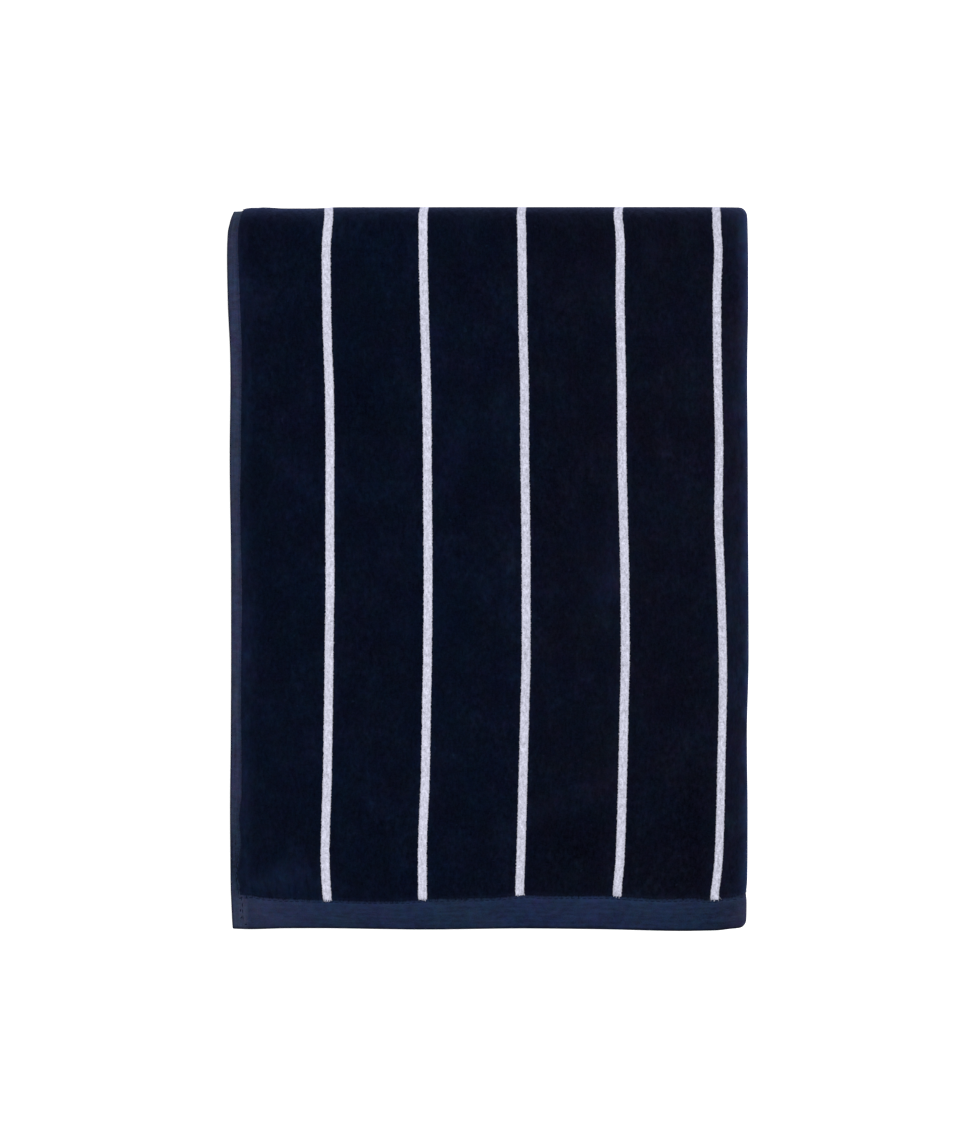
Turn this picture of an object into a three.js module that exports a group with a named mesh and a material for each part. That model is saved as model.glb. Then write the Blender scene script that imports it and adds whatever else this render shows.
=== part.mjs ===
// A beach towel of velour terry, folded flat as it lies on a shelf.
//
// It is one length of cloth, hemmed all round. It is folded in three across its width, like a
// letter, which leaves one long side hem on top at the left and a soft fold down the right. The
// long strip this makes is then folded in half, and in half again, so that one end hem lies on
// top at the near edge and a thick round bend forms the far edge: twelve layers in all.
//
// Millimetres, +Z up. X runs across the folded towel, from the side hem to the right-hand fold.
// Y runs along it, from the end hem to the round bend. The underside lies flat on Z = 0, and the
// origin is under the middle of the towel.
import * as THREE from "three";

// The cloth.
const clothWidth = 820;
const clothLength = 1600;
const pileThickness = 2.5; // ground cloth with the pile on both faces
const hemThickness = 1.5; // flat-woven cloth, turned over and stitched
const sideHem = 5.5;
const endHem = 17;
const hemStep = 1; // the pile falls to the hem over this width

// The fold.
const foldedWidth = 289.7; // from the side hem on top to the outside of the right-hand fold
const layerGap = 0.5; // between the layers of one strip
const stripGap = 0.6; // between one strip and the next
const innerFoldInset = 4.5; // the left-hand folds lie this far inside the side hems over them
const nearFoldInset = 0.3; // the first fold of the strip, inside the end hem above it
const lowerHemInset = 0.4; // the lower end hem, inside the end hem above it
const roundness = 0.9; // 1 turns a fold in a true circle, and less makes it squarer

// The folding in three gives a strip of three layers, whose depth is counted inwards from the
// face that shows. The right-hand fold leaves room for the middle layer, which stops short of it.
const stripHeight = 3 * pileThickness + 2 * layerGap;
const stripMiddle = stripHeight / 2;
const rightTurn = pileThickness + layerGap; // to the middle of the cloth, as the next one
const leftTurn = rightTurn / 2;
const rightArc = Math.PI * rightTurn;
const leftArc = Math.PI * leftTurn;
const rightCentre = foldedWidth - rightTurn - pileThickness / 2;
const leftCentre = innerFoldInset + leftTurn + pileThickness / 2;
const topWidth = rightCentre; // flat cloth in each of the three layers
const lowerWidth = rightCentre - leftCentre;
const middleWidth = clothWidth - topWidth - rightArc - lowerWidth - leftArc;
const freeEdge = leftCentre + middleWidth;

// The four strips and the three bends that join them. The cloth's length says how long the
// strips are, once it has gone round the bends.
const stackHeight = 4 * stripHeight + 3 * stripGap;
const farRadius = stackHeight / 2;
const nearRadius = stripHeight + stripGap / 2;
const innerRadius = stripGap / 2;
const nearCentre = nearFoldInset + nearRadius;
const bendsLength = Math.PI * (farRadius + nearRadius + innerRadius - stripMiddle);
const farCentre = (clothLength - bendsLength + 2 * nearCentre + lowerHemInset) / 4;

// The way along the strip, from the end hem that shows to the one that is hidden. A flat runs
// from `start` in Y, with its outer face at `face` in Z and its depth counted along `inward`. A
// bend turns from one angle to the next round a centre, and `grow` says whether its radius
// shrinks or grows with the depth.
const way = [
  { flat: true, start: 0, heading: 1, face: stackHeight, inward: -1, length: farCentre },
  { centre: [farCentre, farRadius], radius: farRadius, grow: -1, from: 90, to: -90, steps: 9 },
  { flat: true, start: farCentre, heading: -1, face: 0, inward: 1, length: farCentre - nearCentre },
  { centre: [nearCentre, nearRadius], radius: nearRadius, grow: -1, from: -90, to: -270, steps: 6 },
  {
    flat: true, start: nearCentre, heading: 1, face: 2 * stripHeight + stripGap, inward: -1,
    length: farCentre - nearCentre,
  },
  {
    centre: [farCentre, 2 * stripHeight + 1.5 * stripGap], radius: innerRadius, grow: 1,
    from: -90, to: 90, steps: 4,
  },
  {
    flat: true, start: farCentre, heading: -1, face: 2 * stripHeight + 2 * stripGap, inward: 1,
    length: farCentre - lowerHemInset,
  },
];
let reached = 0;
for (const piece of way) {
  if (!piece.flat) piece.length = Math.PI * (piece.radius + piece.grow * stripMiddle);
  piece.begins = reached;
  reached += piece.length;
}

// How far the edges stand out from straight lines, `left` and `right`, at a distance `from` the
// near edge. They hold for all the layers, and each strip lies a little aside from them.
const edgeLines = [
  { from: 0, left: -1.4, right: -2.2 },
  { from: 5, left: -1.1, right: -0.6 },
  { from: 28, left: -0.4, right: -0.3 },
  { from: 65, left: -0.1, right: -0.1 },
  { from: 105, left: -0.5, right: -0.4 },
  { from: 150, left: -0.7, right: 0.4 },
  { from: 206, left: -0.6, right: 0.4 },
  { from: 265, left: 0.1, right: 0 },
  { from: 305, left: -0.3, right: -0.3 },
  { from: 352, left: 1.2, right: 0.2 },
  { from: 382, left: 1.7, right: 0.1 },
  { from: 398, left: -0.6, right: -0.2 },
  { from: 401, left: -1.4, right: -0.3 },
  { from: 404, left: -5, right: -0.6 },
];
const edgeReach = 60; // the shift fades out this far in from each edge
const stripLines = [
  { along: 380, left: 0, right: 0 },
  { along: 450, left: 0.3, right: -0.5 },
  { along: 700, left: 0.1, right: -0.3 },
  { along: 830, left: -0.5, right: -1 },
  { along: 1190, left: -0.2, right: -0.6 },
  { along: 1320, left: 0.2, right: -0.8 },
  { along: 1590, left: -0.2, right: -0.6 },
];

// The end hems. `across` is the distance from the visible side hem. The edge lies `edge` in from
// its straight line, and the seam where the pile begins lies `seam` in from the same line.
const endLines = [
  { across: 0, edge: 0.2, seam: 18.5 },
  { across: 9, edge: -0.1, seam: 18.5 },
  { across: 35, edge: 0.4, seam: 16 },
  { across: 84, edge: 0.1, seam: 14.2 },
  { across: 120, edge: -0.2, seam: 16 },
  { across: 175, edge: 0.3, seam: 18 },
  { across: 208, edge: 0, seam: 18 },
  { across: 258, edge: -1, seam: 15.8 },
  { across: 276, edge: -0.2, seam: 16.8 },
  { across: 286, edge: 1.5, seam: 18.8 },
  { across: 291, edge: 4.5, seam: 21 },
  { across: 300, edge: 5, seam: 22 },
  { across: 560, edge: 2, seam: 19 },
  { across: 820, edge: 1.2, seam: 18 },
];
const endReach = 45; // past the seam, the cloth has straightened by this far

// The side hem has no pile to hold it out, so the far bend is tighter there.
const tightBend = { share: 0.11, from: 5, reach: 4.6 };

// The stack slumps where it has least cloth in it: how far the top face falls to each edge, over
// what width, and above what height. At the right it is short of the middle layers.
const slump = {
  right: { fall: 8, reach: 38, above: 0 },
  left: { fall: 3, reach: 16, above: 0 },
  near: { fall: 4.5, reach: 28, above: 2 * stripHeight + stripGap },
};
const sag = 0.3; // the share by which a bend spreads where it meets the surface below

function smooth(t) {
  const s = Math.min(1, Math.max(0, t));
  return s * s * (3 - 2 * s);
}

function fading(distance, reach) {
  return Math.max(0, 1 - Math.max(0, distance) / reach) ** 2;
}

// The value of one column of a table, between its rows.
function reading(rows, key, at, column) {
  const next = rows.findIndex((row) => row[key] > at);
  if (next === 0) return rows[0][column];
  if (next < 0) return rows[rows.length - 1][column];
  const [a, b] = [rows[next - 1], rows[next]];
  return a[column] + (b[column] - a[column]) * smooth((at - a[key]) / (b[key] - a[key]));
}

// A point on a round fold, as shares of its radius.
function onFold(angle) {
  const shape = (s) => Math.sign(s) * Math.abs(s) ** roundness;
  return [shape(Math.cos(angle)), shape(Math.sin(angle))];
}

// Half the cloth's thickness, which is less at the hems.
function halfThickness(across, along) {
  const fromSide = Math.min(across, clothWidth - across) - sideHem;
  const fromEnd = Math.min(along, clothLength - along) - endHem;
  const pile = smooth(Math.min(fromSide, fromEnd) / hemStep + 0.5);
  return (hemThickness + (pileThickness - hemThickness) * pile) / 2;
}

function slumpedShare({ fall, reach, above }, distance) {
  return 1 - (fall / (stackHeight - above)) * fading(distance, reach);
}

// The folding in three: where a point of the cloth lies across the strip, and how deep. `out` is
// its distance from the cloth's middle, towards the face that shows. Past the middle layer's edge
// the two layers left are drawn thicker here by the share that the slump then takes away.
function foldInThree(across, out) {
  const swell = (x) => 1 / slumpedShare(slump.right, foldedWidth - x);
  const spread = (x) => (stripHeight - pileThickness * swell(x)) / 2;
  let s = across;
  if (s <= topWidth) return [s, stripMiddle - spread(s) - out * swell(s)];
  s -= topWidth;
  if (s <= rightArc) {
    const [sideways, up] = onFold(Math.PI / 2 - (Math.PI * s) / rightArc);
    const half = spread(rightCentre) + out * swell(rightCentre);
    return [rightCentre + (rightTurn + out) * sideways, stripMiddle - half * up];
  }
  s -= rightArc;
  if (s <= lowerWidth) {
    const x = rightCentre - s;
    return [x, stripMiddle + spread(x) + out * swell(x)];
  }
  s -= lowerWidth;
  const leftDepth = stripMiddle + leftTurn;
  if (s <= leftArc) {
    const [sideways, up] = onFold(Math.PI / 2 - (Math.PI * s) / leftArc);
    return [leftCentre - (leftTurn + out) * sideways, leftDepth + (leftTurn + out) * up];
  }
  return [leftCentre + s - leftArc, leftDepth - leftTurn - out];
}

// The end hem that shows wanders, and so does its seam.
function straying(across, along) {
  const edge = reading(endLines, "across", across, "edge");
  const seam = reading(endLines, "across", across, "seam") - endHem;
  if (along < endHem) return edge + ((seam - edge) * along) / endHem;
  return seam * (1 - smooth((along - endHem) / endReach));
}

// The folding in half, and in half again.
function foldInHalves(across, along, depth) {
  const piece = way.findLast((p) => along >= p.begins - 1e-9);
  const s = along - piece.begins;
  if (piece.flat) {
    const stray = piece === way[0] ? straying(across, along) : 0;
    return [piece.start + piece.heading * s + stray, piece.face + piece.inward * depth];
  }
  const angle = THREE.MathUtils.degToRad(piece.from + ((piece.to - piece.from) * s) / piece.length);
  const [outwards, up] = onFold(angle);
  const radius = piece.radius + piece.grow * depth;
  return [piece.centre[0] + radius * outwards, piece.centre[1] + radius * up];
}

// The stack as it lies: its edges wander, and it settles under its own weight.
function settle(along, x, y, z) {
  const fromRight = foldedWidth - x;
  let aside = 0;
  for (const [side, towards, distance] of [["left", -1, x], ["right", 1, fromRight]]) {
    const out = reading(edgeLines, "from", y, side) + reading(stripLines, "along", along, side);
    aside += towards * out * fading(distance, edgeReach);
  }

  let height = z;
  for (const [side, distance] of [["right", fromRight], ["left", x], ["near", y]]) {
    const { above } = slump[side];
    if (height > above) height = above + (height - above) * slumpedShare(slump[side], distance);
  }

  let spread = y;
  if (y > farCentre) {
    const tight = 1 - tightBend.share * (1 - smooth((x - tightBend.from) / tightBend.reach));
    spread = farCentre + (y - farCentre) * tight * (1 + sag * fading(z, farRadius));
  } else if (y < nearCentre && z < slump.near.above) {
    spread = nearCentre + (y - nearCentre) * (1 + sag * fading(z, nearRadius));
  }
  return [x + aside, spread, height];
}

function folded(across, along, out) {
  const [x, depth] = foldInThree(across, out * halfThickness(across, along));
  const [y, z] = foldInHalves(across, along, depth);
  return settle(along, x, y, z);
}

// The lines on the flat cloth that the solid's faces meet on. Each layer has its lines at the
// same places, so that the layers stay apart where the stack slumps.
const stationsAcross = [10, 18, 60, 140, 225, 256, 267, 277];
const foldSteps = { right: 6, left: 4 };
function linesAcross() {
  const hemEdge = [sideHem - hemStep / 2, sideHem + hemStep / 2];
  const turns = (length, steps) => Array.from({ length: steps + 1 }, (_, i) => (length * i) / steps);
  const lowerBegins = topWidth + rightArc;
  const leftBegins = lowerBegins + lowerWidth;
  const middleBegins = leftBegins + leftArc;
  const within = stationsAcross.filter((x) => x < freeEdge - sideHem - hemStep);
  return [
    0, ...hemEdge, ...stationsAcross,
    ...turns(rightArc, foldSteps.right).map((s) => topWidth + s),
    ...stationsAcross.toReversed().map((x) => lowerBegins + rightCentre - x),
    ...turns(leftArc, foldSteps.left).map((s) => leftBegins + s),
    ...within.map((x) => middleBegins + x - leftCentre),
    ...hemEdge.toReversed().map((s) => clothWidth - s), clothWidth,
  ];
}

const stationsAlong = [28, 65, 150, 265, 305, 352, 378];
function linesAlong() {
  const hemEdge = [endHem - hemStep / 2, endHem + hemStep / 2];
  const lines = [0, ...hemEdge];
  for (const piece of way) {
    if (piece.flat) {
      const places = stationsAlong.map((y) => piece.heading * (y - piece.start));
      lines.push(...places.sort((a, b) => a - b).map((s) => piece.begins + s));
    } else {
      for (let i = 0; i <= piece.steps; i++) lines.push(piece.begins + (piece.length * i) / piece.steps);
    }
  }
  lines.push(...hemEdge.toReversed().map((s) => clothLength - s), clothLength);
  return lines;
}

// The towel starts as a flat block with one cell for each space between the lines, and each of
// its corners is then carried to its place in the folded cloth.
function makeTowel() {
  const across = linesAcross();
  const along = linesAlong();
  const columns = across.length - 1;
  const rows = along.length - 1;
  const geometry = new THREE.BoxGeometry(columns, rows, 2, columns, rows, 1);
  const corners = geometry.getAttribute("position");
  for (let i = 0; i < corners.count; i++) {
    const column = Math.round(corners.getX(i) + columns / 2);
    const row = Math.round(corners.getY(i) + rows / 2);
    corners.setXYZ(i, ...folded(across[column], along[row], corners.getZ(i)));
  }
  geometry.computeBoundingBox();
  const { min, max } = geometry.boundingBox;
  geometry.translate(-(min.x + max.x) / 2, -(min.y + max.y) / 2, -min.z);
  geometry.computeVertexNormals();

  const velour = new THREE.MeshStandardMaterial({ color: 0x0d1426, roughness: 0.95, metalness: 0 });
  const towel = new THREE.Mesh(geometry, velour);
  towel.name = "towel";
  return towel;
}

const beachTowel = new THREE.Group();
beachTowel.add(makeTowel());

export default beachTowel;
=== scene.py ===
# A beach towel of velour terry, folded in three across its width, and then in half and half again.
#
# Metres, +Z up. X runs from the side hem that shows to the right-hand fold, and Y from the end hem
# that shows to the round bend at the far edge. The towel lies on Z = 0.
import math

import bpy
import numpy as np
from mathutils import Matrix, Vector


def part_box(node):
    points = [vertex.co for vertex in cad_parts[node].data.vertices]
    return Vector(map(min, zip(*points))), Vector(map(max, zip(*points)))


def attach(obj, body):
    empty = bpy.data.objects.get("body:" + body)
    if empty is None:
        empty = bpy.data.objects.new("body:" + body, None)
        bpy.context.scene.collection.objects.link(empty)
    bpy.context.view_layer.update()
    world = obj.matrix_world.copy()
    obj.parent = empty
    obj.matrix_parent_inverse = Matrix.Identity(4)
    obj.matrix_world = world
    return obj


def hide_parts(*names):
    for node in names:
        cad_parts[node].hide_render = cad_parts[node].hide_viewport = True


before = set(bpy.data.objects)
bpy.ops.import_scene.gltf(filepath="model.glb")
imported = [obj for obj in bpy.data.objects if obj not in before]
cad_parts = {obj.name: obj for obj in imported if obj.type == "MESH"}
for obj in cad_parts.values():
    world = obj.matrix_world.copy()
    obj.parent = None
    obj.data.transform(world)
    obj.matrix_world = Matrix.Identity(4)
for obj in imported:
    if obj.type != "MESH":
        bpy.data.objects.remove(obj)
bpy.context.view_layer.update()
scene = bpy.context.scene
mm = 0.001


# The camera hangs over the middle of the towel and looks straight down. Its lens is long, so that
# the sides of the stack hardly show.
photo_height = 1140  # pixels
photo_pixel = 0.5612 * mm  # at the middle of the stack, where the folds stand out furthest
photo_centre = (0.1 * mm, -0.9 * mm)
sensor = 36
lens = 200
sight = 100
towel_low, towel_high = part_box("towel")

camera_data = bpy.data.cameras.new("camera")
camera_data.sensor_width = sensor
camera_data.lens = lens
camera_data.clip_end = sight
camera = bpy.data.objects.new("camera", camera_data)
camera.location = (*photo_centre, towel_high.z / 2 + photo_height * photo_pixel * lens / sensor)
scene.collection.objects.link(camera)
scene.camera = camera


# The studio is a white floor under an even white sky, with one wide soft lamp high at the right
# and a little past the middle. The floor glows, as a lit table does, so the shadow on it is faint.
pure_white = (1, 1, 1, 1)
sky_strength = 0.68
floor_white = 0.8
floor_glow = 0.75
floor_size = 16
floor_drop = 0.1 * mm  # the floor lies this much under the towel, so that neither shows through
lamp_place = (1.3, 0.2, 1.85)
lamp_size = 1.6
lamp_power = 31


class Shade:
    """A number in a material. + - * and / turn it into Math nodes, and `node` adds any other."""

    def __init__(self, tree, socket=None):
        self.tree = tree
        self.socket = socket

    def node(self, kind, settings=None, values=None, output=0):
        node = self.tree.nodes.new("ShaderNode" + kind)
        for name, setting in (settings or {}).items():
            setattr(node, name, setting)
        for name, value in (values or {}).items():
            if isinstance(value, Shade):
                self.tree.links.new(value.socket, node.inputs[name])
            else:
                node.inputs[name].default_value = value
        return Shade(self.tree, node.outputs[output] if node.outputs else None)

    def maths(self, operation, *values):
        return self.node("Math", {"operation": operation}, dict(enumerate(values)))

    def __add__(self, other):
        return self.maths("ADD", self, other)

    def __radd__(self, other):
        return self.maths("ADD", other, self)

    def __sub__(self, other):
        return self.maths("SUBTRACT", self, other)

    def __rsub__(self, other):
        return self.maths("SUBTRACT", other, self)

    def __mul__(self, other):
        return self.maths("MULTIPLY", self, other)

    def __rmul__(self, other):
        return self.maths("MULTIPLY", other, self)

    def __truediv__(self, other):
        return self.maths("DIVIDE", self, other)

    def between(self, low, high):
        """0 where this is under `low`, 1 where it is over `high`, and eased between them."""
        settings = {"interpolation_type": "SMOOTHSTEP"}
        return self.node("MapRange", settings, {"Value": self, "From Min": low, "From Max": high})

    def mix(self, colour, other):
        """`colour` where this is 0 and `other` where it is 1. The node numbers its colours."""
        return self.node("Mix", {"data_type": "RGBA"}, {0: self, 6: colour, 7: other}, output=2)

    def dim(self, colour):
        """`colour`, made lighter or darker by this."""
        start = colour if isinstance(colour, Shade) else colour[:3]
        return self.node("VectorMath", {"operation": "SCALE"}, {0: start, "Scale": self})

    def noise(self, scale, detail=2.0, roughness=0.5):
        """Soft random shades from 0 to 1 over this place, `scale` to the metre."""
        values = {"Vector": self, "Scale": scale, "Detail": detail, "Roughness": roughness}
        return self.node("TexNoise", {}, values)

    def stretched(self, sizes, turn=0.0):
        """This place, turned and then scaled along each axis."""
        values = {"Vector": self, "Rotation": (0, 0, turn), "Scale": sizes}
        return self.node("Mapping", {"vector_type": "POINT"}, values)


def new_material(name):
    material = bpy.data.materials.new(name)
    material.use_nodes = True
    material.node_tree.nodes.clear()
    return material, Shade(material.node_tree)


world = bpy.data.worlds.new("sky")
world.use_nodes = True
sky = world.node_tree.nodes["Background"]
sky.inputs["Color"].default_value = pure_white
sky.inputs["Strength"].default_value = sky_strength
scene.world = world
scene.view_settings.view_transform = "Standard"

lamp_data = bpy.data.lights.new("lamp", "AREA")
lamp_data.size = lamp_size
lamp_data.energy = lamp_power
lamp = bpy.data.objects.new("lamp", lamp_data)
lamp.location = lamp_place
lamp.rotation_euler = (-lamp.location).to_track_quat("-Z", "Y").to_euler()
scene.collection.objects.link(lamp)

bpy.ops.object.select_all(action="DESELECT")
bpy.ops.mesh.primitive_plane_add(size=floor_size, location=(0, 0, -floor_drop))
bpy.ops.object.transform_apply(location=True)
floor = bpy.context.object
floor.name = "floor"
floor_material, shade = new_material("white_floor")
surface = shade.node("BsdfPrincipled", {}, {
    "Base Color": (floor_white, floor_white, floor_white, 1),
    "Roughness": 1.0,
    "Emission Color": pure_white,
    "Emission Strength": floor_glow,
})
shade.node("OutputMaterial", {}, {"Surface": surface})
floor.data.materials.append(floor_material)


# The cloth is one length of terry woven with stripes of white pile, sheared to velour on the face
# that shows. Its hems are flat-woven, turned over and stitched. It is folded in three across, like
# a letter, then in half and in half again: twelve layers.
cloth_width = 820 * mm
cloth_length = 1600 * mm
pile_thickness = 2.5 * mm
hem_thickness = 1.5 * mm
side_hem = 6.7 * mm
end_hem = 18 * mm
hem_step = 1 * mm  # the pile falls to the hem over this width
side_stitch = 5.3 * mm  # from the edge to the sewing
end_stitch = 16 * mm
stitch_pull = 0.2 * mm  # the sewing draws each face in by this much
side_pull_reach = 0.9 * mm  # and over this much to each side of it
end_pull_reach = 1.1 * mm

folded_width = 289.7 * mm
layer_gap = 0.5 * mm  # between the layers of one strip
strip_gap = 0.6 * mm  # between one strip and the next
inner_fold_inset = 4.5 * mm  # the left-hand folds lie this far inside the side hems over them
near_fold_inset = 0.3 * mm
lower_hem_inset = 0.4 * mm
roundness = 0.9  # 1 turns a fold in a true circle, and less makes it squarer

# Folded in three, the cloth is a strip of three layers. Depth is counted in from its outer face.
strip_height = 3 * pile_thickness + 2 * layer_gap
strip_middle = strip_height / 2
right_turn = pile_thickness + layer_gap
left_turn = right_turn / 2
right_arc = math.pi * right_turn
left_arc = math.pi * left_turn
right_centre = folded_width - right_turn - pile_thickness / 2
left_centre = inner_fold_inset + left_turn + pile_thickness / 2
top_width = right_centre
lower_width = right_centre - left_centre
middle_width = cloth_width - top_width - right_arc - lower_width - left_arc

# The strip then runs forth and back four times, round three bends.
stack_height = 4 * strip_height + 3 * strip_gap
far_radius = stack_height / 2
near_radius = strip_height + strip_gap / 2
inner_radius = strip_gap / 2
near_centre = near_fold_inset + near_radius
bends_length = math.pi * (far_radius + near_radius + inner_radius - strip_middle)
far_centre = (cloth_length - bends_length + 2 * near_centre + lower_hem_inset) / 4


def flat_run(start, heading, face, inward, length):
    return {"flat": True, "start": start, "heading": heading, "face": face, "inward": inward,
            "length": length}


def round_bend(centre, radius, grow, turns_from, turns_to):
    return {"flat": False, "centre": centre, "radius": radius, "grow": grow, "from": turns_from,
            "to": turns_to, "length": math.pi * (radius + grow * strip_middle)}


# The angles are in degrees, and lie between these two all along the way.
lowest_turn = -270
highest_turn = 90
hair = 1e-9  # slack for rounding
way = [
    flat_run(0, 1, stack_height, -1, far_centre),
    round_bend((far_centre, far_radius), far_radius, -1, 90, -90),
    flat_run(far_centre, -1, 0, 1, far_centre - near_centre),
    round_bend((near_centre, near_radius), near_radius, -1, -90, -270),
    flat_run(near_centre, 1, 2 * strip_height + strip_gap, -1, far_centre - near_centre),
    round_bend((far_centre, 2 * strip_height + 1.5 * strip_gap), inner_radius, 1, -90, 90),
    flat_run(far_centre, -1, 2 * strip_height + 2 * strip_gap, 1, far_centre - lower_hem_inset),
]
reached = 0
for piece in way:
    piece["begins"] = reached
    reached += piece["length"]

# How far the edges stand out from straight lines: distance from the near edge, left, right.
edge_lines = mm * np.array([
    (0, -1.4, 0.3), (4, -1.2, 0.5), (9, -1.0, 0.6), (17, -0.7, 0.5), (19.5, -0.6, 0.1),
    (22, -0.5, -0.25), (27, -0.4, 0.15), (36, -0.3, 0.15), (65, -0.1, 0.1),
    (110, -0.5, -0.45), (154, -0.7, 0.55), (206, -0.6, 0.55), (265, 0.1, 0.3), (305, -0.3, 0.05),
    (320, -0.15, 0.15), (352, 1.2, 0.7), (378, 1.6, 0.55), (390, 1.2, 0.45), (396, 0.2, 0.45),
    (400, -0.6, 0.45), (404, -1.5, -0.1),
])
edge_reach = 60 * mm
near_corners = {"left": 1.2 * mm, "right": 5.3 * mm}  # radii
corner_reach = 30 * mm
# How far the far bend stands out: distance from the side hem, distance.
far_lines = mm * np.array([
    (0, -0.5), (0.4, -0.1), (0.9, 0.1), (2, 0.05), (5, 0.3), (6.2, 0.5), (7.4, 0.2), (8.6, -0.1),
    (10, -0.3), (14, -0.35), (18, -0.1), (30, -0.7), (47, -0.7), (60, 0), (290, 0.1),
])
# How each strip lies aside from the others: distance along the cloth, left, right.
strip_lines = mm * np.array([
    (380, 0, 0), (450, 0.3, -0.5), (700, 0.1, -0.3), (830, -0.5, -1), (1190, -0.2, -0.6),
    (1320, 0.2, -0.8), (1590, -0.2, -0.6),
])
# The end hems: distance from the side hem, and how far in the edge and the seam lie there.
end_edge = mm * np.array([
    (0, 0.2), (8, 0.05), (30, 0.6), (45, 0.65), (90, 0.1), (108, -0.1), (166, 0.5), (206, 0.15),
    (258, -0.9), (268, -0.8), (277, -0.7), (286, 0.2), (300, 1), (560, 2), (820, 1.2),
])
end_seam = mm * np.array([
    (0, 20.2), (6, 20), (11, 20.3), (14, 19.7), (17, 18.9), (26, 18.2), (48, 17.3), (90, 16.4),
    (116, 17.8), (148, 18.4), (168, 20.1), (182, 19.5), (208, 19.7), (246, 17.8), (263, 18.3),
    (266.5, 17.6), (268, 17.4), (275.2, 17.3), (277, 18.4), (281, 18.6), (283.6, 18.8),
    (286, 19.8), (290, 20.8), (300, 22.4), (560, 20.6), (820, 19.6),
])
end_reach = 45 * mm
# The side seam: distance from the near edge, and how far to the right of its line it lies there.
side_seam = mm * np.array([
    (0, 1.2), (14, 1.4), (17, 1.0), (19, -0.7), (24, -0.9), (30, -2.0), (42, -0.4), (50, -0.1),
    (62, -0.9),
    (76, 0.5), (96, 0.3), (130, -0.3), (164, -0.1), (182, 0.3), (200, 0.1), (222, -0.4),
    (240, -0.4), (262, 0.15), (300, 0.2), (334, 0.65), (350, 0.6), (366, 0.3), (384, -0.3),
    (400, -0.8),
])
# The far bend is tighter at the side hem, where it has no pile.
tight_bend = {"share": 0.112, "from": 4.8 * mm, "reach": 5.2 * mm}
# How far the edges of the stack sink, on the layers over a height.
slump = {
    "right": {"fall": 8 * mm, "reach": 38 * mm, "above": 0},
    "left": {"fall": 3 * mm, "reach": 16 * mm, "above": 0},
    "near": {"fall": 4.5 * mm, "reach": 28 * mm, "above": 2 * strip_height + strip_gap},
}
sag = 0.3  # how much fuller the bends are low down, under the weight of the stack

# The top layer is a little stretched and pushed about, which shows in its stripes: distance from
# the near edge, and how far each of the five stripes lies to the right of its straight line.
stripes_shown = 5
stripes_woven = 14
stripe_pitch = cloth_width / (stripes_woven + 1)
stripe_lines = mm * np.array([
    (0, 2.2, -0.9, -2.1, -2.5, -4.2), (22, -0.4, -1.5, -1.9, -2.0, -2.0),
    (40, -1.2, -1.6, -1.3, -0.5, -0.1), (90, 0.1, 0.2, 0.1, 1.0, 1.6),
    (122, 0.6, 0.7, 0.9, 1.7, 2.4), (155, 1.0, 1.3, 1.7, 2.4, 2.0), (200, 1.5, 1.6, 1.7, 2.1, 0.7),
    (232, 1.4, 1.4, 1.4, 1.3, -0.4), (270, 1.5, 1.2, 0.9, 0.5, 0.1),
    (300, 1.2, 0.8, 0.8, 0.4, -0.4), (330, 0.1, 0.0, 0.1, -0.1, -1.1),
    (355, -0.4, -0.7, -0.3, -0.5, -1.4), (380, -0.6, -1.2, -0.6, -0.3, -0.5),
    (392, 0.3, -1.3, -0.8, -0.9, -1.3), (400, 1.1, -1.8, -1.6, -2.4, -1.9),
    (404, 1.5, -1.9, -1.9, -2.9, -3.2),
])
push_fade = 1.5 * far_radius  # round the far bend
# Low swells of the top layer: distance from the side hem and from the near edge, half length,
# half width, heading in degrees, and height.
swells = [
    (232, 118, 70, 15, 24, 0.5), (95, 330, 80, 14, -38, 0.4), (170, 240, 95, 18, 62, 0.45),
    (40, 150, 60, 12, 84, 0.35), (262, 318, 24, 7, 8, 0.9), (266, 292, 20, 6, -6, 0.8),
    (262, 345, 22, 7, 12, 0.6), (150, 70, 60, 12, 30, 0.4), (60, 60, 44, 10, -36, 0.35),
    (205, 370, 50, 10, -12, 0.4),
]
swells_begin = {"from": 12 * mm, "reach": 30 * mm}  # in from the hems
swells_end = 20 * mm  # before the right-hand fold
swells_fade = 1.2 * far_radius  # round the far bend
rolls = {"height": 0.22 * mm, "length": 58 * mm, "seed": 3}  # slight ones all over the top layer
pucker = 0.12 * mm  # how far the sewing ruffles the hems
end_ruffle = {"reach": 24 * mm, "length": 13 * mm, "seed": 5}
side_ruffle = {"reach": 12 * mm, "length": 15 * mm, "seed": 6}
ruffle_slant = 0.4  # a ruffle is longer away from the sewing than along it: 1 would be as long
hem_droop = 1.2 * mm  # how far the side hems that face up hang down
droop_reach = 9 * mm
droop_begins = 20 * mm  # over this length, where a strip starts to face up
droop_fade = 0.8 * far_radius
droop_wave = {"share": 0.35, "length": 60 * mm, "seed": 8}
sway = 0.6 * mm  # how far the layers in the middle of the stack wave up and down at its sides
sway_wave = {"reach": 60 * mm, "length": 80 * mm, "seed": 21}
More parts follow.
